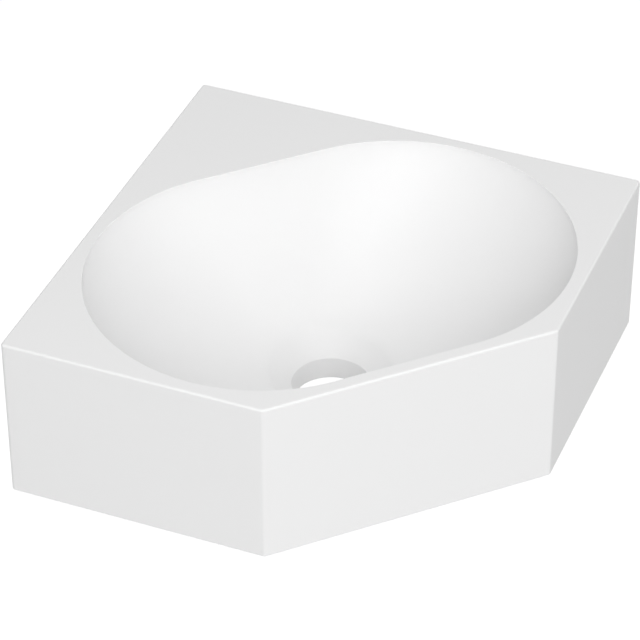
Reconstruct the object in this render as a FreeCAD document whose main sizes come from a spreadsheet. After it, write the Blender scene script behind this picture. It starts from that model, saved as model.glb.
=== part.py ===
import FreeCAD, Part
import math
import os
import Sketcher

# A wall-hung corner basin, cast in one piece, with its hidden fixings.
# The origin is on the axis of the waste hole, at the level of the underside.
# +X is to the right, +Y points back into the room corner and +Z is up.
# All lengths are in millimetres.

SIZES = [
    ("wall_face", 300.0, "length of each of the two faces that stand against the walls"),
    ("side_panel", 166.5, "length of the left panel and of the right panel"),
    ("body_height", 112.0, "height from the underside to the top of the deck"),
    ("waste_set_back", 0.6, "from the line through the side corners back to the waste hole's axis"),
    ("wall_skirt", 10.0, "thickness of the two walls against the room walls"),
    ("front_skirt", 8.0, "thickness of the front, left and right panels"),
    ("deck", 10.0, "thickness of the deck"),
    ("upright_radius", 2.5, "rounding of the upright outer edges"),
    ("deck_edge_radius", 1.5, "rounding of the outer edge of the deck"),
    ("foot_bevel", 1.0, "bevel of the outer edge of the underside"),
    ("inner_radius", 5.0, "rounding of the upright inner corners under the deck"),
    ("wall_rim", 8.6, "width of the deck between the bowl's opening and each wall face"),
    ("front_rim", 8.9, "width of the deck between the bowl's opening and the front panel"),
    ("rim_lip", 2.0, "height of the upright lip at the bowl's rim"),
    ("bowl_depth", 87.0, "from the top of the deck down to the level of the bowl's floor"),
    ("floor_radius", 22.0, "radius to which the round ends have drawn in at the floor"),
    ("bowl_fullness", 1.3, "power of the bowl's side curve, where 2 is an ellipse"),
    ("bowl_gather", 1.2, "power by which the straight sides shorten towards the floor"),
    ("bowl_shell", 9.0, "thickness of the bowl's wall at the rim"),
    ("floor_shell", 12.0, "thickness of the bowl's floor"),
    ("rim_bevel", 0.8, "bevel of the bowl's rim"),
    ("waste_bore", 47.0, "diameter of the waste hole"),
    ("funnel_drop", 11.0, "from the level of the bowl's floor down to the edge of the waste hole"),
    ("waste_edge_radius", 3.0, "rounding of the upper edge of the waste hole"),
    ("funnel_width", 76.0, "width of the funnel round the waste hole, at the floor's level"),
    ("waste_seat", 84.0, "diameter of the flat boss round the waste hole, underneath"),
    ("rib", 8.0, "thickness of the ribs under the deck"),
    ("rib_foot", 50.0, "height of the ribs' lower edge above the underside"),
    ("side_rib_place", 118.0, "from the room corner along a wall to the rib beside a bracket"),
    ("fixing_place", 70.0, "from the room corner along a wall to the axis of its bolt"),
    ("fixing_drop", 40.0, "from the top of the deck down to the axis of the bolt"),
    ("bolt_bore", 11.0, "bore of the fixing bush, for a bolt of ten millimetres"),
    ("bush_wall", 1.6, "wall of the fixing bush"),
    ("bush_flange", 24.0, "diameter of the bush's flange"),
    ("bush_flange_thick", 2.0, "thickness of the bush's flange"),
    ("bush_recess", 0.5, "how far the bush ends short of the wall face"),
    ("bush_gap", 0.1, "clearance round the bush"),
    ("pad_thick", 2.0, "thickness of the pad between bracket and casting"),
    ("plate", 3.0, "thickness of the bracket"),
    ("bracket_length", 58.0, "length of the bracket along the wall"),
    ("bracket_height", 44.0, "height of the bracket's upright leg"),
    ("bracket_reach", 20.0, "width of the bracket's level leg"),
    ("plate_inner_radius", 2.0, "inner radius of the bend between the bracket's legs"),
    ("plate_corner_radius", 4.0, "rounding of the bracket's free corners"),
    ("screw_spacing", 36.0, "distance between the two screws of a bracket"),
    ("screw_edge", 8.0, "from the level leg's free edge to the screws"),
    ("boss_drop", 4.0, "height of the bosses that the bracket is screwed to"),
    ("boss_width", 17.0, "diameter of those bosses"),
    ("insert_across", 9.0, "width across the flats of a threaded insert's hexagon"),
    ("insert_length", 10.0, "length of a threaded insert"),
    ("thread", 5.0, "diameter of a screw's shank at the root of its thread"),
    ("thread_gap", 0.05, "clearance between the shank and the insert's bore"),
    ("screw_grip", 9.0, "how far a screw reaches into its insert"),
    ("screw_clearance", 0.5, "clearance round a screw in the bracket and the washer"),
    ("head_across", 10.0, "width across the flats of a screw's head"),
    ("head_thick", 4.0, "thickness of a screw's head"),
    ("washer_width", 12.5, "outer diameter of a washer"),
    ("washer_thick", 1.6, "thickness of a washer"),
]

# Turn of each fixing about Z, so that its own Y points inwards from the wall
# face and its own X runs along the wall.
SIDES = {"left": 225, "right": 135}
SCREWS = {"inner": 1, "outer": -1}

# Steps of the bowl's side curve, in degrees: 0 under the rim's lip, 90 at the floor.
# The hidden underside needs only every third one.
BOWL_STEPS = range(0, 85, 7)
SHELL_STEPS = range(0, 85, 21)

# How far the funnel's cone is carried up, as a multiple of its own drop, so
# that it ends in the open bowl.
FUNNEL_REACH = 1.5

# Heights and corners that several pieces share, as formulas of the sizes.
CORNER_Y = "(sizes.wall_face / sqrt(2) - sizes.waste_set_back)"
FRONT_Y = "((sizes.wall_face + sizes.side_panel) / sqrt(2) - %s)" % CORNER_Y
BOWL_RADIUS = "(%s - sizes.front_rim)" % FRONT_Y
BOWL_OFFSET = "(%s - sqrt(2) * (%s + sizes.wall_rim))" % (CORNER_Y, BOWL_RADIUS)
DECK_UNDER = "(sizes.body_height - sizes.deck)"
LIP_Z = "(sizes.body_height - sizes.rim_lip)"
FIXING_Z = "(sizes.body_height - sizes.fixing_drop)"
BOSS_FACE = "(sizes.fixing_drop - sizes.deck - sizes.boss_drop)"
PAD_FACE = "(sizes.wall_skirt + sizes.pad_thick)"
PLATE_FACE = "(sizes.wall_skirt + sizes.pad_thick + sizes.plate)"
SCREW_Y = "(sizes.wall_skirt + sizes.pad_thick + sizes.bracket_reach - sizes.screw_edge)"
WASHER_FACE = "(sizes.fixing_drop - sizes.deck - sizes.boss_drop - sizes.plate)"
BUSH_WIDTH = "(sizes.bolt_bore + 2 * sizes.bush_wall)"


def vector(x, y, z=0.0):
    return FreeCAD.Vector(x, y, z)


def make_sizes(doc):
    """Write every driving size into one sheet, each under its own name."""
    sheet = doc.addObject("Spreadsheet::Sheet", "sizes")
    for row, (alias, value, meaning) in enumerate(SIZES, start=1):
        sheet.set("A%d" % row, meaning)
        sheet.set("B%d" % row, str(value))
        sheet.setAlias("B%d" % row, alias)
    doc.recompute()
    return sheet


def number(doc, formula):
    return float(doc.getObject("sizes").evalExpression(formula))


def origin_plane(body, role):
    return [item for item in body.Origin.OriginFeatures if item.Role == role][0]


def new_body(doc, name):
    body = doc.addObject("PartDesign::Body", name)
    body.Label = name
    return body


def new_sketch(body, name, role, lift=None):
    """Lay a sketch on one of the body's own planes, raised by a formula."""
    sketch = body.newObject("Sketcher::SketchObject", name)
    sketch.AttachmentSupport = [(origin_plane(body, role), "")]
    sketch.MapMode = "FlatFace"
    if lift:
        sketch.setExpression("AttachmentOffset.Base.z", lift)
    return sketch


def bind(sketch, kind, where, formula):
    """Add one dimension to a sketch and tie it to a formula of the sizes."""
    value = number(sketch.Document, formula)
    index = sketch.addConstraint(Sketcher.Constraint(kind, *where, value))
    sketch.setExpression("Constraints[%d]" % index, formula)


def draw_outline(sketch, corners):
    """Draw a closed outline of straight lines through corners given as formulas."""
    doc = sketch.Document
    points = [vector(number(doc, x), number(doc, y)) for x, y in corners]
    count = len(points)
    for index in range(count):
        sketch.addGeometry(Part.LineSegment(points[index], points[(index + 1) % count]), False)
    for index in range(count):
        sketch.addConstraint(Sketcher.Constraint("Coincident", index, 2, (index + 1) % count, 1))
    for index, (x, y) in enumerate(corners):
        bind(sketch, "DistanceX", (-1, 1, index, 1), x)
        bind(sketch, "DistanceY", (-1, 1, index, 1), y)


def draw_circle(sketch, x, y, radius):
    doc = sketch.Document
    centre = vector(number(doc, x), number(doc, y))
    circle = Part.Circle(centre, vector(0, 0, 1), number(doc, radius))
    index = sketch.addGeometry(circle, False)
    bind(sketch, "DistanceX", (-1, 1, index, 3), x)
    bind(sketch, "DistanceY", (-1, 1, index, 3), y)
    bind(sketch, "Radius", (index,), radius)


def draw_round_ended(sketch, radius, offset):
    """Draw two half circles joined by straight sides, centred on the origin."""
    doc = sketch.Document
    high = number(doc, radius)
    out = number(doc, offset)
    up = vector(0, 0, 1)
    quarter = math.pi / 2
    left = Part.Circle(vector(-out, 0), up, high)
    right = Part.Circle(vector(out, 0), up, high)
    sketch.addGeometry(
        [
            Part.LineSegment(vector(out, high), vector(-out, high)),
            Part.ArcOfCircle(left, quarter, 3 * quarter),
            Part.LineSegment(vector(-out, -high), vector(out, -high)),
            Part.ArcOfCircle(right, -quarter, quarter),
        ],
        False,
    )
    for edge in range(4):
        sketch.addConstraint(Sketcher.Constraint("Tangent", edge, 2, (edge + 1) % 4, 1))
    sketch.addConstraint(Sketcher.Constraint("Equal", 1, 3))
    sketch.addConstraint(Sketcher.Constraint("PointOnObject", 1, 3, -1))
    sketch.addConstraint(Sketcher.Constraint("Symmetric", 1, 3, 3, 3, -1, 1))
    bind(sketch, "Radius", (3,), radius)
    bind(sketch, "DistanceX", (-1, 1, 3, 3), offset)


def add_pad(body, sketch, length, middle=False):
    pad = body.newObject("PartDesign::Pad", sketch.Name + "_pad")
    pad.Profile = sketch
    pad.Midplane = middle
    pad.setExpression("Length", length)
    return pad


def add_pocket(body, sketch, length, backwards=False, middle=False):
    pocket = body.newObject("PartDesign::Pocket", sketch.Name + "_pocket")
    pocket.Profile = sketch
    pocket.Reversed = backwards
    pocket.Midplane = middle
    pocket.setExpression("Length", length)
    return pocket


def add_round(body, name, base, edges, radius):
    rounding = body.newObject("PartDesign::Fillet", name)
    rounding.Base = (base, edges)
    rounding.setExpression("Radius", radius)
    return rounding


def add_bevel(body, name, base, edges, size):
    bevel = body.newObject("PartDesign::Chamfer", name)
    bevel.Base = (base, edges)
    bevel.setExpression("Size", size)
    return bevel


def edges_where(shape, test):
    """Name the edges whose box, given as lowest and highest corners, passes a test."""
    names = []
    for index, edge in enumerate(shape.Edges, start=1):
        box = edge.BoundBox
        if test(box):
            names.append("Edge%d" % index)
    return names


def is_upright(box):
    return box.XLength < 0.1 and box.YLength < 0.1


def is_level_at(height):
    return lambda box: abs(box.ZMin - height) < 0.01 and abs(box.ZMax - height) < 0.01


def on_fixing(side, x, y, z, turn="rotation(vector(0; 0; 1); 0)"):
    """Place a piece in a fixing's own frame.

    Its origin is where the bolt's axis meets the wall face, X runs along the
    wall, Y points inwards and Z is up.
    """
    sign = "-1" if side == "left" else "1"
    seat = (
        "placement(vector(%s * sizes.fixing_place / sqrt(2); %s - sizes.fixing_place / sqrt(2); %s);"
        " rotation(vector(0; 0; 1); %d))" % (sign, CORNER_Y, FIXING_Z, SIDES[side])
    )
    return "%s * placement(vector(%s; %s; %s); %s)" % (seat, x, y, z, turn)


INWARDS = "rotation(vector(1; 0; 0); -90)"


def screw_x(place):
    return "(%d * sizes.screw_spacing / 2)" % SCREWS[place]


def plan_corners(wall, front):
    """The five corners of the plan, set in from the outside by the two thicknesses."""
    top = "(%s - %s * sqrt(2))" % (CORNER_Y, wall)
    run = "((sizes.wall_face - %s - %s) / sqrt(2))" % (wall, front)
    side_y = "(%s - %s)" % (top, run)
    front_y = "(%s - %s)" % (front, FRONT_Y)
    front_x = "(%s - (%s - %s))" % (run, side_y, front_y)
    return [
        ("0", top),
        ("-" + run, side_y),
        ("-" + front_x, front_y),
        (front_x, front_y),
        (run, side_y),
    ]


def bowl_sections(body, name, steps, shell, floor):
    """Sketches of the bowl's level sections, from under the rim's lip to the floor.

    At a step of t degrees the round ends have drawn in with cos t from the rim's
    radius to the floor's, the straight sides are shortened by a power of cos t,
    and the section lies below the lip by the depth times a power of sin t. The
    underside of the bowl is the same curve, set out by a shell and a floor thickness.
    """
    depth = "(sizes.bowl_depth + %s - sizes.rim_lip)" % floor
    swing = "(%s - sizes.floor_radius)" % BOWL_RADIUS
    sections = []
    for step in steps:
        lift = "%s - %s * sin(%d) ^ (2 / sizes.bowl_fullness)" % (LIP_Z, depth, step)
        sketch = new_sketch(body, "%s_%02d" % (name, step), "XY_Plane", lift)
        radius = "sizes.floor_radius + %s + %s * cos(%d)" % (shell, swing, step)
        offset = "%s * cos(%d) ^ sizes.bowl_gather" % (BOWL_OFFSET, step)
        draw_round_ended(sketch, radius, offset)
        sections.append(sketch)
    return sections


def cut_bowl(body, name, steps, shell="0", floor="0"):
    sections = bowl_sections(body, name, steps, shell, floor)
    loft = body.newObject("PartDesign::SubtractiveLoft", name)
    loft.Profile = sections[0]
    loft.Sections = sections[1:]
    loft.Ruled = True
    return loft


def cut_rim(body):
    """The bowl's opening in the deck, upright as far as its lip and bevelled at the top."""
    opening = new_sketch(body, "opening", "XY_Plane", LIP_Z)
    draw_round_ended(opening, BOWL_RADIUS, BOWL_OFFSET)
    pocket = add_pocket(body, opening, "2 * sizes.rim_lip", backwards=True)
    body.Document.recompute()
    height = number(body.Document, "sizes.body_height")
    rim = [
        name for name in edges_where(pocket.Shape, is_level_at(height))
        if is_rim(pocket.Shape.getElement(name), body.Document)
    ]
    add_bevel(body, "bowl_rim", pocket, rim, "sizes.rim_bevel")


def is_rim(edge, doc):
    """Whether an edge lies on the outline of the bowl's opening."""
    radius = number(doc, BOWL_RADIUS)
    offset = number(doc, BOWL_OFFSET)
    point = edge.valueAt((edge.FirstParameter + edge.LastParameter) / 2)
    beyond = max(abs(point.x) - offset, 0.0)
    return abs(math.hypot(beyond, point.y) - radius) < 0.01


def cut_waste(body):
    """The funnel in the bowl's floor, and the waste hole with its rounded upper edge."""
    doc = body.Document
    funnel = new_sketch(body, "funnel", "XZ_Plane")
    bore = "sizes.waste_bore / 2"
    edge_z = "(sizes.body_height - sizes.bowl_depth - sizes.funnel_drop)"
    top_r = "%s + %s * (sizes.funnel_width / 2 - %s)" % (bore, FUNNEL_REACH, bore)
    top_z = "%s + %s * sizes.funnel_drop" % (edge_z, FUNNEL_REACH)
    draw_outline(funnel, [("0", edge_z), (bore, edge_z), (top_r, top_z), ("0", top_z)])
    groove = body.newObject("PartDesign::Groove", "funnel_groove")
    groove.Profile = funnel
    groove.ReferenceAxis = (funnel, ["V_Axis"])
    groove.Angle = 360
    hole = new_sketch(body, "waste_hole", "XY_Plane")
    draw_circle(hole, "0", "0", bore)
    pocket = add_pocket(body, hole, "sizes.body_height", backwards=True)
    doc.recompute()
    radius = number(doc, bore)
    edge = edges_where(pocket.Shape, lambda box: abs(box.XMax - radius) < 0.01
                       and abs(box.YMax - radius) < 0.01 and box.ZMin > 1)
    add_round(body, "waste_edge", pocket, edge, "sizes.waste_edge_radius")


def make_block(doc):
    """The outside of the casting, with the bowl and the waste hole cut into it."""
    body = new_body(doc, "casting_block")
    plan = new_sketch(body, "block_plan", "XY_Plane")
    draw_outline(plan, plan_corners("0", "0"))
    pad = add_pad(body, plan, "sizes.body_height")
    doc.recompute()
    height = number(doc, "sizes.body_height")
    upright = edges_where(pad.Shape, is_upright)
    rounding = add_round(body, "upright_edges", pad, upright, "sizes.upright_radius")
    doc.recompute()
    top = edges_where(rounding.Shape, is_level_at(height))
    rounding = add_round(body, "deck_edge", rounding, top, "sizes.deck_edge_radius")
    doc.recompute()
    foot = edges_where(rounding.Shape, is_level_at(0))
    add_bevel(body, "foot_edge", rounding, foot, "sizes.foot_bevel")
    cut_rim(body)
    cut_bowl(body, "bowl", BOWL_STEPS)
    cut_waste(body)
    doc.recompute()
    return body


def make_core(doc):
    """The hollow under the deck: the space between the upright walls and the bowl."""
    body = new_body(doc, "underside_core")
    plan = new_sketch(body, "core_plan", "XY_Plane")
    draw_outline(plan, plan_corners("sizes.wall_skirt", "sizes.front_skirt"))
    pad = add_pad(body, plan, DECK_UNDER)
    doc.recompute()
    upright = edges_where(pad.Shape, is_upright)
    add_round(body, "core_corners", pad, upright, "sizes.inner_radius")
    cut_bowl(body, "shell", SHELL_STEPS, "sizes.bowl_shell", "sizes.floor_shell")
    seat = new_sketch(body, "waste_boss", "XY_Plane")
    draw_circle(seat, "0", "0", "sizes.waste_seat / 2")
    add_pocket(body, seat, "sizes.body_height", backwards=True)
    cut_centre_rib(body)
    for side in SIDES:
        cut_side_rib(body, side)
    doc.recompute()
    return body


def cut_centre_rib(body):
    """A rib from the room corner to the back of the bowl."""
    sketch = new_sketch(body, "centre_rib", "XY_Plane", "sizes.rib_foot")
    half = "sizes.rib / 2"
    draw_outline(sketch, [("-" + half, "0"), (half, "0"), (half, CORNER_Y), ("-" + half, CORNER_Y)])
    add_pocket(body, sketch, "sizes.body_height", backwards=True)


def cut_side_rib(body, side):
    """A rib from the wall to the bowl, beside the bracket and square to the wall."""
    sign = "-1" if side == "left" else "1"
    sketch = new_sketch(body, side + "_rib", "XY_Plane", "sizes.rib_foot")
    near = "(sizes.side_rib_place - sizes.rib / 2)"
    far = "(sizes.side_rib_place + sizes.rib / 2)"
    inner = BOWL_RADIUS
    corners = []
    for along, inwards in ((near, "0"), (far, "0"), (far, inner), (near, inner)):
        x = "%s * (%s - %s) / sqrt(2)" % (sign, along, inwards)
        y = "%s - (%s + %s) / sqrt(2)" % (CORNER_Y, along, inwards)
        corners.append((x, y))
    draw_outline(sketch, corners)
    add_pocket(body, sketch, "sizes.body_height", backwards=True)


def place(piece, formula):
    piece.setExpression("Placement", formula)


def cylinder(doc, name, radius, height, placement):
    piece = doc.addObject("Part::Cylinder", name)
    piece.setExpression("Radius", radius)
    piece.setExpression("Height", height)
    place(piece, placement)
    return piece


def hexagon(doc, name, across, height, placement):
    piece = doc.addObject("Part::Prism", name)
    piece.Polygon = 6
    piece.setExpression("Circumradius", across + " / 2 / cos(30)")
    piece.setExpression("Height", height)
    place(piece, placement)
    return piece


def fuse(doc, name, pieces):
    union = doc.addObject("Part::MultiFuse", name)
    union.Shapes = pieces
    return union


def cut(doc, name, base, tool):
    result = doc.addObject("Part::Cut", name)
    result.Base = base
    result.Tool = tool
    return result


def make_basin_body(doc):
    """The casting: the block less the hollow, with bosses, bolt holes and insert seats."""
    block = make_block(doc)
    core = make_core(doc)
    bosses = []
    holes = []
    for side in SIDES:
        bolt_hole = cylinder(doc, side + "_bolt_hole", BUSH_WIDTH + " / 2 + sizes.bush_gap",
                             "2 * sizes.wall_skirt",
                             on_fixing(side, "0", "-sizes.wall_skirt / 2", "0", INWARDS))
        holes.append(bolt_hole)
        for name in SCREWS:
            label = "%s_%s" % (side, name)
            seat = on_fixing(side, screw_x(name), SCREW_Y, BOSS_FACE)
            bosses.append(cylinder(doc, label + "_boss", "sizes.boss_width / 2",
                                   "2 * sizes.boss_drop", seat))
            holes.append(hexagon(doc, label + "_seat", "sizes.insert_across",
                                 "sizes.insert_length", seat))
    hollow = cut(doc, "hollow", core, fuse(doc, "bosses", bosses))
    shell = cut(doc, "open_casting", block, hollow)
    return cut(doc, "basin_body", shell, fuse(doc, "holes", holes))


def make_bracket(doc, side):
    """An angle plate: one leg up against the pad, one level under the deck's bosses."""
    body = new_body(doc, side + "_bracket")
    profile = new_sketch(body, side + "_bracket_profile", "YZ_Plane")
    bottom = "(%s - sizes.bracket_height)" % BOSS_FACE
    edge = "(%s + sizes.bracket_reach)" % PAD_FACE
    under = WASHER_FACE
    draw_outline(profile, [
        (PAD_FACE, bottom),
        (PLATE_FACE, bottom),
        (PLATE_FACE, under),
        (edge, under),
        (edge, BOSS_FACE),
        (PAD_FACE, BOSS_FACE),
    ])
    pad = add_pad(body, profile, "sizes.bracket_length", middle=True)
    doc.recompute()
    inside = number(doc, PLATE_FACE)
    outside = number(doc, PAD_FACE)
    under_z = number(doc, under)
    top_z = number(doc, BOSS_FACE)
    bend = edges_where(pad.Shape, lambda box: box.XLength > 1 and abs(box.YMax - inside) < 0.01
                       and abs(box.ZMax - under_z) < 0.01)
    rounding = add_round(body, side + "_inner_bend", pad, bend, "sizes.plate_inner_radius")
    doc.recompute()
    bend = edges_where(rounding.Shape, lambda box: box.XLength > 1 and abs(box.YMax - outside) < 0.01
                       and abs(box.ZMin - top_z) < 0.01)
    rounding = add_round(body, side + "_outer_bend", rounding, bend,
                         "sizes.plate_inner_radius + sizes.plate")
    doc.recompute()
    thick = number(doc, "sizes.plate")
    low = number(doc, bottom)
    far = number(doc, edge)
    corners = edges_where(rounding.Shape, lambda box: box.XLength < 0.01 and (
        (abs(box.YLength - thick) < 0.01 and abs(box.ZMax - low) < 0.01)
        or (abs(box.ZLength - thick) < 0.01 and abs(box.YMin - far) < 0.01)))
    add_round(body, side + "_plate_corners", rounding, corners, "sizes.plate_corner_radius")
    bolt = new_sketch(body, side + "_bracket_bolt_hole", "XZ_Plane")
    draw_circle(bolt, "0", "0", BUSH_WIDTH + " / 2 + sizes.bush_gap")
    add_pocket(body, bolt, "2 * " + PLATE_FACE, middle=True)
    screws = new_sketch(body, side + "_bracket_screw_holes", "XY_Plane")
    for name in SCREWS:
        draw_circle(screws, screw_x(name), SCREW_Y, "sizes.thread / 2 + sizes.screw_clearance")
    add_pocket(body, screws, "sizes.body_height", backwards=True)
    place(body, on_fixing(side, "0", "0", "0"))
    return body


def make_pad(doc, side):
    """A rubber sheet of the upright leg's size, below its bend."""
    body = new_body(doc, side + "_pad")
    outline = new_sketch(body, side + "_pad_outline", "XZ_Plane", "-" + PAD_FACE)
    half = "sizes.bracket_length / 2"
    bottom = "(%s - sizes.bracket_height)" % BOSS_FACE
    top = "(%s - sizes.plate - sizes.plate_inner_radius)" % BOSS_FACE
    draw_outline(outline, [("-" + half, bottom), (half, bottom), (half, top), ("-" + half, top)])
    draw_circle(outline, "0", "0", BUSH_WIDTH + " / 2 + sizes.bush_gap")
    add_pad(body, outline, "sizes.pad_thick")
    place(body, on_fixing(side, "0", "0", "0"))
    return body


def make_fixing_bush(doc, side):
    """A flanged sleeve: its flange on the bracket, its sleeve through to the wall face."""
    body = new_body(doc, side + "_fixing_bush")
    profile = new_sketch(body, side + "_bush_profile", "XY_Plane")
    bore = "sizes.bolt_bore / 2"
    outer = "(%s / 2)" % BUSH_WIDTH
    flange = "sizes.bush_flange / 2"
    face = PLATE_FACE
    end = "(%s + sizes.bush_flange_thick)" % PLATE_FACE
    draw_outline(profile, [
        (bore, "sizes.bush_recess"),
        (outer, "sizes.bush_recess"),
        (outer, face),
        (flange, face),
        (flange, end),
        (bore, end),
    ])
    turn = body.newObject("PartDesign::Revolution", side + "_bush_turn")
    turn.Profile = profile
    turn.ReferenceAxis = (profile, ["V_Axis"])
    turn.Angle = 360
    place(body, on_fixing(side, "0", "0", "0"))
    return body


def make_insert(doc, side, name):
    """A threaded insert, a hexagon outside so that it can't turn in the casting."""
    label = "%s_%s_insert" % (side, name)
    seat = on_fixing(side, screw_x(name), SCREW_Y, BOSS_FACE)
    length = "sizes.insert_length"
    body = hexagon(doc, label + "_hexagon", "sizes.insert_across", length, seat)
    bore = cylinder(doc, label + "_bore", "sizes.thread / 2 + sizes.thread_gap", length, seat)
    return cut(doc, label, body, bore)


def make_washer(doc, side, name):
    label = "%s_%s_washer" % (side, name)
    seat = on_fixing(side, screw_x(name), SCREW_Y, "(%s - sizes.washer_thick)" % WASHER_FACE)
    disc = cylinder(doc, label + "_disc", "sizes.washer_width / 2", "sizes.washer_thick", seat)
    bore = cylinder(doc, label + "_bore", "sizes.thread / 2 + sizes.screw_clearance",
                    "sizes.washer_thick", seat)
    return cut(doc, label, disc, bore)


def make_screw(doc, side, name):
    """A hexagon screw: its head under the washer, its shank up into the insert."""
    label = "%s_%s_screw" % (side, name)
    below = "(%s - sizes.washer_thick - sizes.head_thick)" % WASHER_FACE
    seat = on_fixing(side, screw_x(name), SCREW_Y, below)
    head = hexagon(doc, label + "_head", "sizes.head_across", "sizes.head_thick", seat)
    length = "sizes.head_thick + sizes.washer_thick + sizes.plate + sizes.screw_grip"
    shank = cylinder(doc, label + "_shank", "sizes.thread / 2", length, seat)
    return fuse(doc, label, [head, shank])


def make_parts(doc):
    parts = [make_basin_body(doc)]
    for side in SIDES:
        parts.append(make_bracket(doc, side))
        parts.append(make_pad(doc, side))
        parts.append(make_fixing_bush(doc, side))
        for name in SCREWS:
            parts.append(make_insert(doc, side, name))
            parts.append(make_washer(doc, side, name))
            parts.append(make_screw(doc, side, name))
    return parts


def check(doc, parts):
    """Stop if anything failed to build or any piece isn't one sound solid."""
    for item in doc.Objects:
        if "Invalid" in item.State or "Error" in item.State:
            raise RuntimeError("%s failed to build: %s" % (item.Label, item.State))
    for part in parts:
        shape = part.Shape
        if shape.isNull() or not shape.isValid() or len(shape.Solids) != 1:
            raise RuntimeError("%s isn't one sound solid" % part.Label)


def main():
    doc = FreeCAD.newDocument("corner_basin")
    make_sizes(doc)
    parts = make_parts(doc)
    doc.recompute()
    check(doc, parts)
    os.makedirs("parts", exist_ok=True)
    for part in parts:
        part.Shape.exportStep("parts/%s.step" % part.Label)
        print("%-24s %10.1f mm3" % (part.Label, part.Shape.Volume))


main()
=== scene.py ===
import math

import bmesh
import bpy
import numpy as np
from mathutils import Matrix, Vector


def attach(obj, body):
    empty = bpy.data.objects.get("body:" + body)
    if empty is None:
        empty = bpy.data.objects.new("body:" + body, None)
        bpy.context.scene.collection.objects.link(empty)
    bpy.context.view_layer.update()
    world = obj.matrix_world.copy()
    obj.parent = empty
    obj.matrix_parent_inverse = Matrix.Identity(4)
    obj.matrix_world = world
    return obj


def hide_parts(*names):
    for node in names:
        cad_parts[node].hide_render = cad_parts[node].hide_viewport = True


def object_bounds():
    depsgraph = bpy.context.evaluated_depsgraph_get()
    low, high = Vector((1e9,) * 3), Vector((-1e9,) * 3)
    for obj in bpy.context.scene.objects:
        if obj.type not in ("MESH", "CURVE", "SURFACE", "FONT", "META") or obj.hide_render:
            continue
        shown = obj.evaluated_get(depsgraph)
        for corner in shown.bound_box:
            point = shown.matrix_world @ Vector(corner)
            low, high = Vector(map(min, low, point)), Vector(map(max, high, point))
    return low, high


# A matt white corner basin with its hidden wall brackets, hung above a pale floor.
# Metres, in the CAD frame: the origin is on the axis of the waste hole at the level
# of the underside, +X is right, +Y is back into the room corner, +Z is up.

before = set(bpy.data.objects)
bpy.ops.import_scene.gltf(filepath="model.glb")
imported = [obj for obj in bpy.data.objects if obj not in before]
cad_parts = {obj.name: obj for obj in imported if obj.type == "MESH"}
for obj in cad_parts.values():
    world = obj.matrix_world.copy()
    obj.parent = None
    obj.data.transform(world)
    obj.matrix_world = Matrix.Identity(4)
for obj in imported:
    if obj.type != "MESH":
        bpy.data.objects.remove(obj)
cadLow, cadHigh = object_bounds()
print("frame loaded:", len(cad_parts), "nodes")

outline = {
    "wallFace": 0.300,  # length of each face against a wall
    "sidePanel": 0.1665,  # and of the left and the right panel
    "wasteSetBack": 0.0006,  # waste hole behind the line through the side corners
    "sampleStep": 0.75,  # degrees between outline points
    "cornerPlay": 1.8,  # degrees each side of a corner with closer points
    "cornerStep": 0.15,  # degrees between those
    "cornerGap": 0.2,  # degrees kept free between the two kinds
}
tiny = 1e-6  # a sine, a cosine or an angle below this counts as nothing
root2 = math.sqrt(2)
bodyHeight = cadHigh.z
cornerY = outline["wallFace"] / root2 - outline["wasteSetBack"]
sideX = outline["wallFace"] / root2
sideY = cornerY - sideX
frontY = cornerY - (outline["wallFace"] + outline["sidePanel"]) / root2
frontX = sideX - (sideY - frontY)
planCorners = np.array(
    [(0, cornerY), (-sideX, sideY), (-frontX, frontY), (frontX, frontY), (sideX, sideY)]
)


# Even bearings round the waste hole's axis, closer together at the corners of the plan.
def makeBearings():
    play, step = outline["cornerPlay"], outline["cornerStep"]
    even = np.arange(0, 360, outline["sampleStep"])
    near = np.degrees(np.arctan2(planCorners[:, 1], planCorners[:, 0])) % 360
    fine = (near[:, None] + np.arange(-play, play + tiny, step)).ravel() % 360
    apart = np.abs((even[:, None] - near + 180) % 360 - 180).min(1)
    even = even[apart > play + outline["cornerGap"]]
    return np.radians(np.sort(np.concatenate([even, fine])))


bearings = makeBearings()
bearingCos, bearingSin = np.cos(bearings), np.sin(bearings)


# Distance from the axis to the five-sided plan, set in from the walls and the front,
# with rounded corners. The straight sides come first. Between the two points where a
# corner's rounding starts, its circle gives ahead + sqrt(ahead*ahead - d*d + r*r), with
# ahead the centre's reach along the bearing, d its distance and r the radius.
def planOutline(wallInset, frontInset, cornerRadius):
    along = np.roll(planCorners, -1, axis=0) - planCorners
    normals = np.stack([along[:, 1], -along[:, 0]], 1) / np.linalg.norm(along, axis=1)[:, None]
    reach = (normals * planCorners).sum(1)
    normals *= np.sign(reach)[:, None]
    reach = np.abs(reach) - [wallInset, frontInset, frontInset, frontInset, wallInset]
    rays = np.stack([bearingCos, bearingSin], 1)
    toward = rays @ normals.T
    distance = np.where(toward > tiny, reach / np.maximum(toward, tiny), np.inf).min(1)
    hits = rays * distance[:, None]
    for index in range(len(planCorners)):
        pair = normals[[index - 1, index]]
        centre = np.linalg.solve(pair, reach[[index - 1, index]] - cornerRadius)
        middle = pair.sum(0) / np.linalg.norm(pair.sum(0))
        start = (pair @ middle).min() * cornerRadius
        rounded = ((hits - centre) @ pair.T > 0).all(1) & ((hits - centre) @ middle > start)
        ahead = rays @ centre
        root = np.sqrt(np.maximum(ahead**2 - centre @ centre + cornerRadius**2, 0))
        distance = np.where(rounded & (ahead > 0), ahead + root, distance)
    return distance


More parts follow.
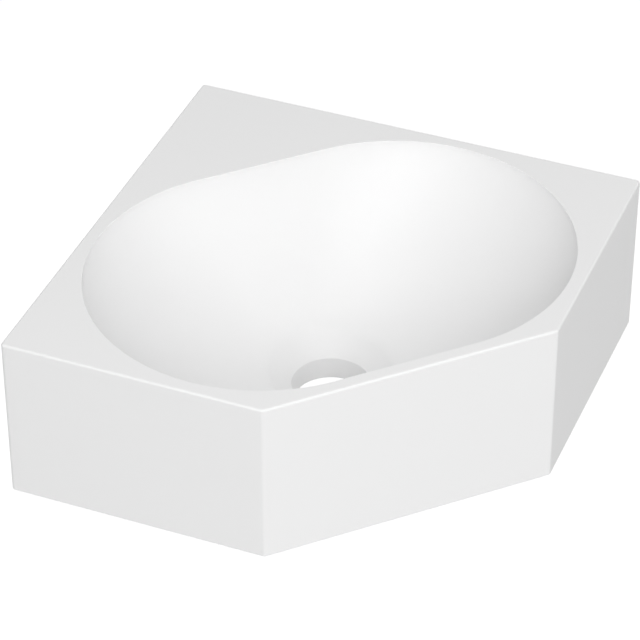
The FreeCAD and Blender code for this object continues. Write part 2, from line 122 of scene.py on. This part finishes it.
# Distance to an outline with straight sides at y = radius and round ends about
# x = offset. On an end it is ahead + sqrt(ahead*ahead - offset*offset + radius*radius),
# with ahead = offset * |cos bearing|.
def roundEnded(radius, offset):
    straight = radius / np.maximum(np.abs(bearingSin), tiny)
    ahead = offset * np.abs(bearingCos)
    end = ahead + np.sqrt(np.maximum(ahead * ahead - offset * offset + radius * radius, 0))
    return np.where(straight * np.abs(bearingCos) <= offset, straight, end)


casting = {
    "wallRim": 0.0086,  # deck between the bowl and a wall face
    "frontRim": 0.0089,  # deck between the bowl and the front panel
    "lip": 0.0008,  # upright band between the rim and the bowl's curve
    "depth": 0.087,  # from the deck down to the level of the bowl's floor
    "floorRadius": 0.022,
    "fullness": 1.3,  # power of the side curve, where 2 is an ellipse
    "gather": 1.2,  # power by which the straight sides shorten
    "shell": 0.009,  # wall of the bowl at the rim
    "floorShell": 0.012,
    "wasteRadius": 0.0235,  # at the underside
    "mouthRadius": 0.0249,  # at the funnel
    "mouthRound": 0.0006,
    "wasteEase": 0.0015,  # rounding of the hole's lower edge
    "funnelDrop": 0.011,
    "funnelRadius": 0.038,
    "bossRadius": 0.042,
    "deck": 0.010,  # thickness, as are the next two
    "wallSkirt": 0.010,  # upright faces against the room's walls
    "frontSkirt": 0.008,  # front, left and right panels
    "uprightRadius": 0.00253,
    "innerRadius": 0.005,
    "deckRound": 0.0015,
    "footRound": 0.001,
    "rimRound": 0.0004,
    "roundSteps": 6,
    "creaseFrom": 60.0,  # degrees: the funnel meets the bowl past this turn
    "funnelLoops": 5,
    "bowlLoops": 44,
    "shellLoops": 24,
    "halvings": 40,  # steps of a search along the side curve
}
bowlRadius = -frontY - casting["frontRim"]
bowlOffset = cornerY - root2 * (bowlRadius + casting["wallRim"])


# Radius and offset of the bowl's level section, and its height, at a turn of the side
# curve. The round ends' radius is the floor's plus a swing times cos(turn), the offset
# shrinks with cos(turn) to the gather power, and the section lies below the lip by the
# depth times sin(turn) ^ (2 / fullness). The underside grows and sinks the same curve.
def bowlSection(turn, grow=0.0, sink=0.0):
    swing = bowlRadius - casting["floorRadius"]
    depth = casting["depth"] + sink - casting["lip"]
    radius = casting["floorRadius"] + grow + swing * np.cos(turn)
    offset = bowlOffset * np.cos(turn) ** casting["gather"]
    height = bodyHeight - casting["lip"] - depth * np.sin(turn) ** (2 / casting["fullness"])
    return radius, offset, height


def bowlLoop(turn, grow=0.0, sink=0.0):
    radius, offset, height = bowlSection(turn, grow, sink)
    return roundEnded(radius, offset), height


# The turn at each bearing where a test that falls along the side curve reaches zero,
# found by halving.
def turnWhere(test, start, *underside):
    low = np.full_like(bearings, start)
    high = np.full_like(bearings, math.pi / 2)
    for _ in range(casting["halvings"]):
        middle = (low + high) / 2
        above = test(*bowlLoop(middle, *underside)) > 0
        low, high = np.where(above, middle, low), np.where(above, high, middle)
    return low


def arc(start, end, steps):
    return np.radians(np.linspace(start, end, steps + 1))


# Points of the arc that rounds the corner of a profile: its centre lies radius / sin(half
# the corner's angle) along the line that halves the corner.
def roundCorner(before, here, after, radius, steps=4):
    back, on = ((end - here) / np.linalg.norm(end - here) for end in (before, after))
    half = math.acos(np.clip(back @ on, -1, 1)) / 2
    centre = here + (back + on) / np.linalg.norm(back + on) * radius / math.sin(half)
    first, last = (here + way * radius / math.tan(half) - centre for way in (back, on))
    share = np.linspace(0, 1, steps + 1)[:, None]
    spoke = first * (1 - share) + last * share
    return centre + spoke / np.linalg.norm(spoke, axis=1)[:, None] * radius


def funnelHeight(distance):
    edge = bodyHeight - casting["depth"] - casting["funnelDrop"]
    run = casting["funnelRadius"] - casting["wasteRadius"]
    return edge + (distance - casting["wasteRadius"]) / run * casting["funnelDrop"]


# Outlines of the casting are pairs of (distance, height), each one number or one for
# every bearing. These go up out of the waste hole, over the funnel and up the bowl.
def makeBowlLoops():
    size = casting
    mouth, brim = size["mouthRadius"], size["funnelRadius"]
    corners = np.array([(size["bossRadius"], 0.0), (size["wasteRadius"], 0.0),
                        (mouth, funnelHeight(mouth)), (brim, funnelHeight(brim))])
    loops = [*roundCorner(*corners[:3], size["wasteEase"]),
             *roundCorner(*corners[1:], size["mouthRound"])]
    crease = turnWhere(lambda distance, height: funnelHeight(distance) - height,
                       math.radians(size["creaseFrom"]))
    start, end = loops[-1][0], bowlLoop(crease)[0]
    for share in np.linspace(0, 1, size["funnelLoops"] + 2)[1:-1]:
        distance = start + (end - start) * share
        loops.append((distance, funnelHeight(distance)))
    return loops + [bowlLoop(crease * share) for share in np.linspace(1, 0, size["bowlLoops"])]


# These go round the bowl's rim, over the deck's edge and down the panels to the foot.
def makeOuterLoops():
    rim, deck, foot = (casting[name] for name in ("rimRound", "deckRound", "footRound"))
    loops = []
    for angle in arc(180, 90, casting["roundSteps"]):
        loops.append((roundEnded(bowlRadius + rim * (1 + math.cos(angle)), bowlOffset),
                      bodyHeight - rim * (1 - math.sin(angle))))
    for angle in arc(90, 0, casting["roundSteps"]):
        inset = deck * (1 - math.cos(angle))
        loops.append((planOutline(inset, inset, casting["uprightRadius"] - inset),
                      bodyHeight - deck * (1 - math.sin(angle))))
    for angle in arc(0, -90, casting["roundSteps"]):
        inset = foot * (1 - math.cos(angle))
        loops.append((planOutline(inset, inset, casting["uprightRadius"] - inset),
                      foot * (1 + math.sin(angle))))
    return loops


# These go up inside the panels, along under the deck and the bowl, and down to the
# flat boss.
def makeUnderLoops():
    size = casting
    under = (size["shell"], size["floorShell"])
    wall = planOutline(size["wallSkirt"], size["frontSkirt"], size["innerRadius"])
    roof = bodyHeight - size["deck"]
    first = turnWhere(lambda distance, height: np.maximum(distance - wall, height - roof),
                      0.0, *under)
    last = turnWhere(lambda distance, height: distance - size["bossRadius"], 0.0, *under)
    loops = [(wall, 0.0), (wall, np.minimum(bowlLoop(first, *under)[1], roof))]
    for share in np.linspace(0, 1, size["shellLoops"]):
        loops.append(bowlLoop(first + (last - first) * share, *under))
    return loops + [(size["bossRadius"], 0.0)]


# Distances and heights of such outlines as two grids, with single numbers repeated.
def spread(loops, count):
    return (np.array([np.broadcast_to(loop[half], count) for loop in loops]) for half in (0, 1))


def addPiece(name, points, faces):
    mesh = bpy.data.meshes.new(name)
    mesh.from_pydata(points, [], faces)
    piece = bpy.data.objects.new(name, mesh)
    bpy.context.scene.collection.objects.link(piece)
    return piece


# A skin over a grid of points, closed round each row and, for a ring, from the last row
# back to the first. A row whose points all meet is a pole.
def skin(name, grid, ring=True, mergeWithin=1e-7):
    rows, count = grid.shape[:2]
    ids = np.arange(rows * count).reshape(rows, count)
    upper = np.roll(ids, -1, axis=0) if ring else ids[1:]
    lower = ids if ring else ids[:-1]
    faces = np.stack([lower, np.roll(lower, -1, axis=1), np.roll(upper, -1, axis=1), upper], -1)
    piece = addPiece(name, grid.reshape(-1, 3), faces.reshape(-1, 4))
    work = bmesh.new()
    work.from_mesh(piece.data)
    bmesh.ops.remove_doubles(work, verts=work.verts, dist=mergeWithin)
    bmesh.ops.recalc_face_normals(work, faces=work.faces)
    if work.calc_volume(signed=True) < 0:
        bmesh.ops.reverse_faces(work, faces=work.faces)
    work.to_mesh(piece.data)
    work.free()
    return piece


# A solid between two outlines with the same number of points, its faces outwards.
def prism(name, start, end):
    if np.cross(start, np.roll(start, -1, axis=0)).sum(0) @ (end - start).sum(0) < 0:
        start, end = start[::-1], end[::-1]
    count = len(start)
    ring = np.arange(count)
    following = np.roll(ring, -1)
    walls = np.stack([ring, following, following + count, ring + count], 1)
    faces = [ring[::-1].tolist(), (ring + count).tolist()] + walls.tolist()
    return addPiece(name, np.concatenate([start, end]), faces)


def combine(piece, other, operation):
    modifier = piece.modifiers.new("combine", "BOOLEAN")
    modifier.operation = operation
    modifier.solver = "MANIFOLD"
    modifier.object = other
    bpy.context.view_layer.objects.active = piece
    bpy.ops.object.modifier_apply(modifier=modifier.name)
    bpy.data.objects.remove(other, do_unlink=True)


# Smooth faces with sharp edges above an angle, and normals that follow the larger faces.
def finishShading(piece, sharpAngle=32.0):
    piece.data.polygons.foreach_set("use_smooth", [True] * len(piece.data.polygons))
    piece.data.set_sharp_from_angle(angle=math.radians(sharpAngle))
    modifier = piece.modifiers.new("flatNormals", "WEIGHTED_NORMAL")
    modifier.keep_sharp = True
    bpy.context.view_layer.objects.active = piece
    bpy.ops.object.modifier_apply(modifier=modifier.name)


# The slots go first, because a boolean leaves an empty one.
def wear(piece, material, node):
    piece.data.materials.clear()
    piece.data.materials.append(material)
    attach(piece, "root")
    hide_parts(node)


distances, heights = spread(makeBowlLoops() + makeOuterLoops() + makeUnderLoops(), len(bearings))
basin = skin("basin", np.stack([distances * bearingCos, distances * bearingSin, heights], -1))
print("casting:", len(basin.data.polygons), "faces")

fixing = {
    "place": 0.070,  # along a wall from the room corner to the bolt's axis
    "drop": 0.040,  # from the deck down to the bolt's axis
    "rib": 0.008,
    "ribPlace": 0.118,  # along a wall from the room corner to a side rib
    "ribFoot": 0.050,  # its level above the underside
    "ribRoot": 0.005,  # from the deck's face to a rib's top, and a wall face to a side rib
    "backRoot": 0.003,  # how deep the middle rib reaches into its walls
    "edgeFrom": 6.0,  # degrees: first turn of the side curve that is sampled for a rib
    "edgeSamples": 400,
    "edgePoints": 14,
    "middleHalf": 0.020,  # nearer the middle than this, a rib meets the straight side
    "bolt": 0.0072,  # radius of the bush's hole
    "boltStart": -0.002,  # the hole's cut starts outside the wall face
    "boltLength": 0.014,
    "screwSpacing": 0.036,
    "screwInwards": 0.024,
    "bossFace": 0.098,  # its level above the underside
    "bossRadius": 0.0085,
    "bossLength": 0.008,
    "seatAcross": 0.009,  # across the flats of the insert's seat
    "seatLength": 0.010,
    "seatStart": 0.001,  # how far below the boss the cut starts
}
sides = {"left": -1, "right": 1}
screwPlaces = {"inner": 1, "outer": -1}
seatZ = fixing["bossFace"] - (bodyHeight - fixing["drop"])


# From a fixing's own frame to the object's: X along the wall to the room corner, Y
# inwards from the wall face and Z up, from where the bolt's axis meets the face.
def atFixing(side, points):
    sign = sides[side]
    axes = np.array([(-sign, 1, 0), (-sign, -1, 0), (0, 0, root2)]) / root2
    start = (sign * fixing["place"] / root2, cornerY - fixing["place"] / root2,
             bodyHeight - fixing["drop"])
    return points @ axes + start


# Place of a screw's axis, at a depth below its boss.
def screwSpot(place, depth=0.0):
    return place * fixing["screwSpacing"] / 2, fixing["screwInwards"], seatZ - depth


# Middle of the bowl's wall at a turn of the side curve.
def wallSection(turn):
    return bowlSection(turn, casting["shell"] / 2, casting["floorShell"] / 2)


# Where level lines that start on one outline point and run inwards meet the middle of
# the bowl's wall: on a round end the nearer root of |start + run * inwards - centre| =
# radius, and on a straight side (radius - start.y) / inwards.y.
def meetBowl(start, inwards, turn):
    radius, offset, height = wallSection(turn)
    hand = np.sign(start[0]) if abs(start[0]) > fixing["middleHalf"] else 0.0
    centred = start - np.stack([hand * offset, np.zeros_like(offset)], -1)
    ahead = centred @ inwards
    end = -ahead - np.sqrt(np.maximum(ahead**2 - (centred**2).sum(-1) + radius**2, 0))
    straight = (radius - start[1]) / inwards[1]
    run = np.where(hand == 0.0, straight, end)
    return np.column_stack([start + run[:, None] * inwards, height])


# A rib between the wall and the bowl: its inner edge follows the bowl's wall from the
# rib's foot up into the deck.
def makeRib(start, inwards):
    turns = np.linspace(math.radians(fixing["edgeFrom"]), math.pi / 2, fixing["edgeSamples"])
    top = bodyHeight - fixing["ribRoot"]
    levels = np.linspace(fixing["ribFoot"], top, fixing["edgePoints"])
    turns = np.interp(levels, wallSection(turns)[2][::-1], turns[::-1])
    across = np.array([-inwards[1], inwards[0]]) * fixing["rib"] / 2
    faces = []
    for shift in (-across, across):
        edge = meetBowl(start + shift, inwards, turns)
        root = np.array([[*(start + shift), edge[-1, 2]], [*(start + shift), edge[0, 2]]])
        faces.append(np.concatenate([edge, root]))
    return prism("rib", *faces)


# A rod in a fixing's frame, upright or, along the bolt, level.
def makeRod(side, spot, radius, length, points=64, level=False):
    angle = np.linspace(0, 2 * math.pi, points, endpoint=False)
    ring = np.stack([radius * np.cos(angle), radius * np.sin(angle), np.zeros(points)], -1)
    run = np.array([0, 0, length])
    if level:
        ring, run = ring[:, [0, 2, 1]], np.array([0, length, 0])
    return prism("rod", atFixing(side, ring + spot), atFixing(side, ring + spot + run))


backStart = np.array([0.0, cornerY - root2 * (casting["wallSkirt"] - fixing["backRoot"])])
combine(basin, makeRib(backStart, np.array([0.0, -1.0])), "UNION")
for side, sign in sides.items():
    inwards = np.array([-sign, -1.0]) / root2
    face = np.array([sign * fixing["ribPlace"], -fixing["ribPlace"]]) / root2 + (0, cornerY)
    combine(basin, makeRib(face + inwards * fixing["ribRoot"], inwards), "UNION")
    for place in screwPlaces.values():
        boss = makeRod(side, screwSpot(place), fixing["bossRadius"], fixing["bossLength"])
        combine(basin, boss, "UNION")
        seat = makeRod(side, screwSpot(place, fixing["seatStart"]),
                       fixing["seatAcross"] / math.sqrt(3),
                       fixing["seatLength"] + fixing["seatStart"], points=6)
        combine(basin, seat, "DIFFERENCE")
    hole = makeRod(side, (0, fixing["boltStart"], 0), fixing["bolt"], fixing["boltLength"],
                   level=True)
    combine(basin, hole, "DIFFERENCE")
print("casting with ribs, bosses and holes:", len(basin.data.polygons), "faces")


# A closed profile with each corner rounded.
def softProfile(corners, radius):
    corners = np.asarray(corners, float)
    threes = zip(np.roll(corners, 1, 0), corners, np.roll(corners, -1, 0))
    return np.concatenate([roundCorner(*three, radius) for three in threes])


turnedPoints = 96  # round the axis of a turned piece
turnedAngles = np.linspace(0, 2 * math.pi, turnedPoints, endpoint=False)


# A turned piece in a fixing's frame, from rows of (distance from its axis, place along
# it), each one number or one for every point round the axis.
def turnedPiece(name, side, spot, rows, level=False, ring=True):
    radius, along = spread(rows, turnedPoints)
    grid = np.stack([radius * np.cos(turnedAngles), radius * np.sin(turnedAngles), along], -1)
    if level:
        grid = grid[..., [0, 2, 1]]
    return skin(name, atFixing(side, grid + spot), ring)


bush = {
    "bore": 0.0055,  # radius, as are the next two
    "outer": 0.0071,
    "flange": 0.012,
    "recess": 0.0005,  # how far it ends short of the wall face
    "flangeSeat": 0.015,  # from the wall face
    "flangeThick": 0.002,
    "softness": 0.0003,
}


def makeBush(side):
    bore, outer, flange = (bush[name] for name in ("bore", "outer", "flange"))
    start, seat = bush["recess"], bush["flangeSeat"]
    end = seat + bush["flangeThick"]
    corners = [(bore, start), (outer, start), (outer, seat), (flange, seat), (flange, end),
               (bore, end)]
    profile = softProfile(corners, bush["softness"])
    return turnedPiece(side + "Bush", side, (0, 0, 0), profile, level=True)


washer = {
    "bore": 0.003,  # radius, as is the next
    "outer": 0.00625,
    "thick": 0.0016,
    "softness": 0.00015,
}
plateThick = 0.003  # of the bracket between boss and washer


def makeWasher(side, name, place):
    bore, outer, thick = (washer[name] for name in ("bore", "outer", "thick"))
    profile = softProfile([(bore, 0), (outer, 0), (outer, thick), (bore, thick)],
                          washer["softness"])
    return turnedPiece(side + name + "Washer", side, screwSpot(place, plateThick + thick), profile)


screw = {
    "across": 0.010,
    "headThick": 0.004,
    "faceShare": 0.93,  # of half the width across: a ring on the head's flat face
    "coneShare": 0.95,  # of half the width across: where the face's chamfer starts
    "coneSlope": 30.0,  # degrees between the face and the chamfer
    "coneRise": 0.001,  # height of the rows that cut it
    "coneRows": 7,
    "shank": 0.0025,  # radius
    "length": 0.0176,  # head and shank
    "pitch": 0.0008,
    "threadDepth": 0.0004,
    "rowsPerTurn": 8,
    "tip": 0.0006,
    "tipShare": 0.8,  # of the shank's radius
}


# A hexagon screw. The head's outline is across / 2 / cos(bearing from the nearest flat),
# cut to a cone at its lower corners. The thread is shank - depth * a triangle wave of
# height / pitch - bearing / full turn.
def makeScrew(side, name, place):
    half, shank, length = screw["across"] / 2, screw["shank"], screw["length"]
    flat = half / np.cos(turnedAngles % (math.pi / 3) - math.pi / 6)
    rows = [(0.0, 0.0), (screw["faceShare"] * half, 0.0)]
    slope = math.tan(math.radians(screw["coneSlope"]))
    for level in np.linspace(0.0, screw["coneRise"], screw["coneRows"]):
        rows.append((np.minimum(flat, screw["coneShare"] * half + level / slope), level))
    rows += [(flat, screw["headThick"]), (shank, screw["headThick"])]
    start = screw["headThick"] + washer["thick"] + plateThick
    for level in np.arange(start, length - screw["tip"], screw["pitch"] / screw["rowsPerTurn"]):
        phase = level / screw["pitch"] - turnedAngles / (2 * math.pi)
        wave = np.abs(2 * (phase % 1) - 1)
        fade = min(1.0, (level - start) / screw["pitch"])
        rows.append((shank - screw["threadDepth"] * wave * fade, level))
    rows += [(screw["tipShare"] * shank, length), (0.0, length)]
    return turnedPiece(side + name + "Screw", side, screwSpot(place, start), rows, ring=False)


# Each finish is a Principled shader with noise on Object coordinates: a slight change
# of colour, of roughness and a bump. A Mapping node turns and stretches brushed grain.
def makeFinish(name, colour, other, roughness, grain, bump, metallic=0.0, stretch=(1, 1, 1),
               turn=0.0, patches=12.0, detail=3.0):
    material = bpy.data.materials.new(name)
    material.use_nodes = True
    tree = material.node_tree
    shader = tree.nodes["Principled BSDF"]
    shader.inputs["Metallic"].default_value = metallic
    place = tree.nodes.new("ShaderNodeTexCoord")
    mapping = tree.nodes.new("ShaderNodeMapping")
    mapping.inputs["Rotation"].default_value = (0, 0, math.radians(turn))
    mapping.inputs["Scale"].default_value = stretch
    fine = tree.nodes.new("ShaderNodeTexNoise")
    fine.inputs["Scale"].default_value = grain
    fine.inputs["Detail"].default_value = detail
    broad = tree.nodes.new("ShaderNodeTexNoise")
    broad.inputs["Scale"].default_value = patches
    tone = tree.nodes.new("ShaderNodeMix")
    tone.data_type = "RGBA"
    tone.inputs["A"].default_value = (*colour, 1)
    tone.inputs["B"].default_value = (*other, 1)
    gloss = tree.nodes.new("ShaderNodeMapRange")
    gloss.inputs["To Min"].default_value = roughness[0]
    gloss.inputs["To Max"].default_value = roughness[1]
    relief = tree.nodes.new("ShaderNodeBump")
    relief.inputs["Strength"].default_value = bump[0]
    relief.inputs["Distance"].default_value = bump[1]
    link = tree.links.new
    link(place.outputs["Object"], mapping.inputs["Vector"])
    link(mapping.outputs["Vector"], fine.inputs["Vector"])
    link(place.outputs["Object"], broad.inputs["Vector"])
    link(broad.outputs["Fac"], tone.inputs["Factor"])
    link(tone.outputs["Result"], shader.inputs["Base Color"])
    link(fine.outputs["Fac"], gloss.inputs["Value"])
    link(gloss.outputs["Result"], shader.inputs["Roughness"])
    link(fine.outputs["Fac"], relief.inputs["Height"])
    link(relief.outputs["Normal"], shader.inputs["Normal"])
    return material


castMineral = makeFinish("castMineral", colour=(0.873, 0.873, 0.873), other=(0.866, 0.866, 0.866),
                         roughness=(0.46, 0.54), grain=900, bump=(0.05, 0.0001))
padRubber = makeFinish("padRubber", colour=(0.045, 0.045, 0.045), other=(0.06, 0.06, 0.058),
                       roughness=(0.75, 0.9), grain=1500, bump=(0.4, 0.0002))
bushNylon = makeFinish("bushNylon", colour=(0.82, 0.81, 0.77), other=(0.80, 0.79, 0.75),
                       roughness=(0.35, 0.5), grain=800, bump=(0.1, 0.0001))
insertBrass = makeFinish("insertBrass", colour=(0.72, 0.55, 0.27), other=(0.66, 0.49, 0.23),
                         roughness=(0.25, 0.4), grain=600, bump=(0.15, 0.0001), metallic=1.0,
                         stretch=(1, 1, 12))
washerSteel = makeFinish("washerSteel", colour=(0.66, 0.66, 0.65), other=(0.62, 0.62, 0.62),
                         roughness=(0.28, 0.42), grain=900, bump=(0.1, 0.0001), metallic=1.0)
screwSteel = makeFinish("screwSteel", colour=(0.60, 0.60, 0.60), other=(0.55, 0.55, 0.555),
                        roughness=(0.25, 0.4), grain=700, bump=(0.1, 0.0001), metallic=1.0)
bracketSteel = {
    side: makeFinish(side + "BracketSteel", colour=(0.62, 0.62, 0.61), other=(0.58, 0.58, 0.57),
                     roughness=(0.24, 0.46), grain=500, bump=(0.3, 0.0001), metallic=1.0,
                     stretch=(0.06, 1, 1), turn=45 * sign)
    for side, sign in sides.items()
}

finishShading(basin)
wear(basin, castMineral, "basin_body")
for side in sides:
    dressed = [("bracket", bracketSteel[side]), ("pad", padRubber)]
    for place, shift in screwPlaces.items():
        dressed.append((place + "_insert", insertBrass))
        disc = makeWasher(side, place.capitalize(), shift)
        finishShading(disc)
        wear(disc, washerSteel, "%s_%s_washer" % (side, place))
        hexagon = makeScrew(side, place.capitalize(), shift)
        finishShading(hexagon)
        wear(hexagon, screwSteel, "%s_%s_screw" % (side, place))
    sleeve = makeBush(side)
    finishShading(sleeve)
    wear(sleeve, bushNylon, side + "_fixing_bush")
    for name, material in dressed:
        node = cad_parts["%s_%s" % (side, name)]
        node.data.materials.clear()
        node.data.materials.append(material)
print("fixings and finishes done")

stage = {
    "drop": 0.8,  # from the underside down to the floor
    "size": 16.0,
    "colour": (0.8, 0.8, 0.8),
    "lift": 0.585,  # how strongly the floor shines for the camera
}
studio = {
    "sky": 0.32,  # strength of the sky as light
    "white": 1.0,  # and as the camera sees it
    "lampSize": 2.0,
    "lampDistance": 3.0,
}
bpy.ops.mesh.primitive_plane_add(size=stage["size"], location=(0, 0, -stage["drop"]))
floor = bpy.context.active_object
floor.name = "floor"


# White for the camera and for what metal mirrors, without more light on the object.
def seenRay(tree):
    path = tree.nodes.new("ShaderNodeLightPath")
    seen = path.outputs["Is Camera Ray"]
    for name in ("Is Glossy Ray", "Is Transmission Ray"):
        both = tree.nodes.new("ShaderNodeMath")
        both.operation = "MAXIMUM"
        tree.links.new(seen, both.inputs[0])
        tree.links.new(path.outputs[name], both.inputs[1])
        seen = both.outputs[0]
    return seen


# The floor is matt and keeps the shadow; what looks at it gets a lift on top.
floorMaterial = bpy.data.materials.new("paleFloor")
floorMaterial.use_nodes = True
tree = floorMaterial.node_tree
shader = tree.nodes["Principled BSDF"]
shader.inputs["Base Color"].default_value = (*stage["colour"], 1)
shader.inputs["Roughness"].default_value = 1.0
shader.inputs["Specular IOR Level"].default_value = 0.0
shader.inputs["Emission Color"].default_value = (1, 1, 1, 1)
lift = tree.nodes.new("ShaderNodeMath")
lift.operation = "MULTIPLY"
lift.inputs[1].default_value = stage["lift"]
tree.links.new(seenRay(tree), lift.inputs[0])
tree.links.new(lift.outputs[0], shader.inputs["Emission Strength"])
floor.data.materials.append(floorMaterial)

world = bpy.data.worlds.new("studio")
bpy.context.scene.world = world
world.use_nodes = True
tree = world.node_tree
background = tree.nodes["Background"]
background.inputs["Color"].default_value = (1, 1, 1, 1)
strength = tree.nodes.new("ShaderNodeMapRange")
strength.inputs["To Min"].default_value = studio["sky"]
strength.inputs["To Max"].default_value = studio["white"]
tree.links.new(seenRay(tree), strength.inputs["Value"])
tree.links.new(strength.outputs["Result"], background.inputs["Strength"])


# Unit vector from the object towards a lamp or the camera, from angles in degrees. At
# azimuth 0 it points to the front, and a positive azimuth turns it to the right.
def heading(azimuth, elevation):
    azimuth, elevation = math.radians(azimuth), math.radians(elevation)
    level = math.cos(elevation)
    return Vector((math.sin(azimuth) * level, -math.cos(azimuth) * level, math.sin(elevation)))


lamps = {
    "key": {"azimuth": -10.0, "elevation": 45.0, "power": 24.0},
    "left": {"azimuth": -35.0, "elevation": 18.0, "power": 25.3},
    "right": {"azimuth": 35.0, "elevation": 15.0, "power": 10.8},
    "top": {"azimuth": 0.0, "elevation": 85.0, "power": 26.5},
}
for name, lamp in lamps.items():
    data = bpy.data.lights.new(name, "AREA")
    data.shape = "DISK"
    data.size = studio["lampSize"]
    data.energy = lamp["power"]
    light = bpy.data.objects.new(name, data)
    bpy.context.scene.collection.objects.link(light)
    away = heading(lamp["azimuth"], lamp["elevation"])
    light.location = away * studio["lampDistance"]
    light.rotation_euler = away.to_track_quat("Z", "Y").to_euler()
print("stage and lamps done")

view = {
    "azimuth": -23.32,
    "elevation": 37.60,
    "distance": 1.885,
    "target": (-0.0010, 0.0153, 0.0545),
    "lens": 170.3,
    "sensor": 36,
}
back = heading(view["azimuth"], view["elevation"])
camera = bpy.data.objects.new("camera", bpy.data.cameras.new("camera"))
camera.data.lens = view["lens"]
camera.data.sensor_width = view["sensor"]
camera.location = Vector(view["target"]) + back * view["distance"]
camera.rotation_euler = back.to_track_quat("Z", "Y").to_euler()
bpy.context.scene.collection.objects.link(camera)
bpy.context.scene.camera = camera
bpy.context.scene.view_settings.view_transform = "Standard"
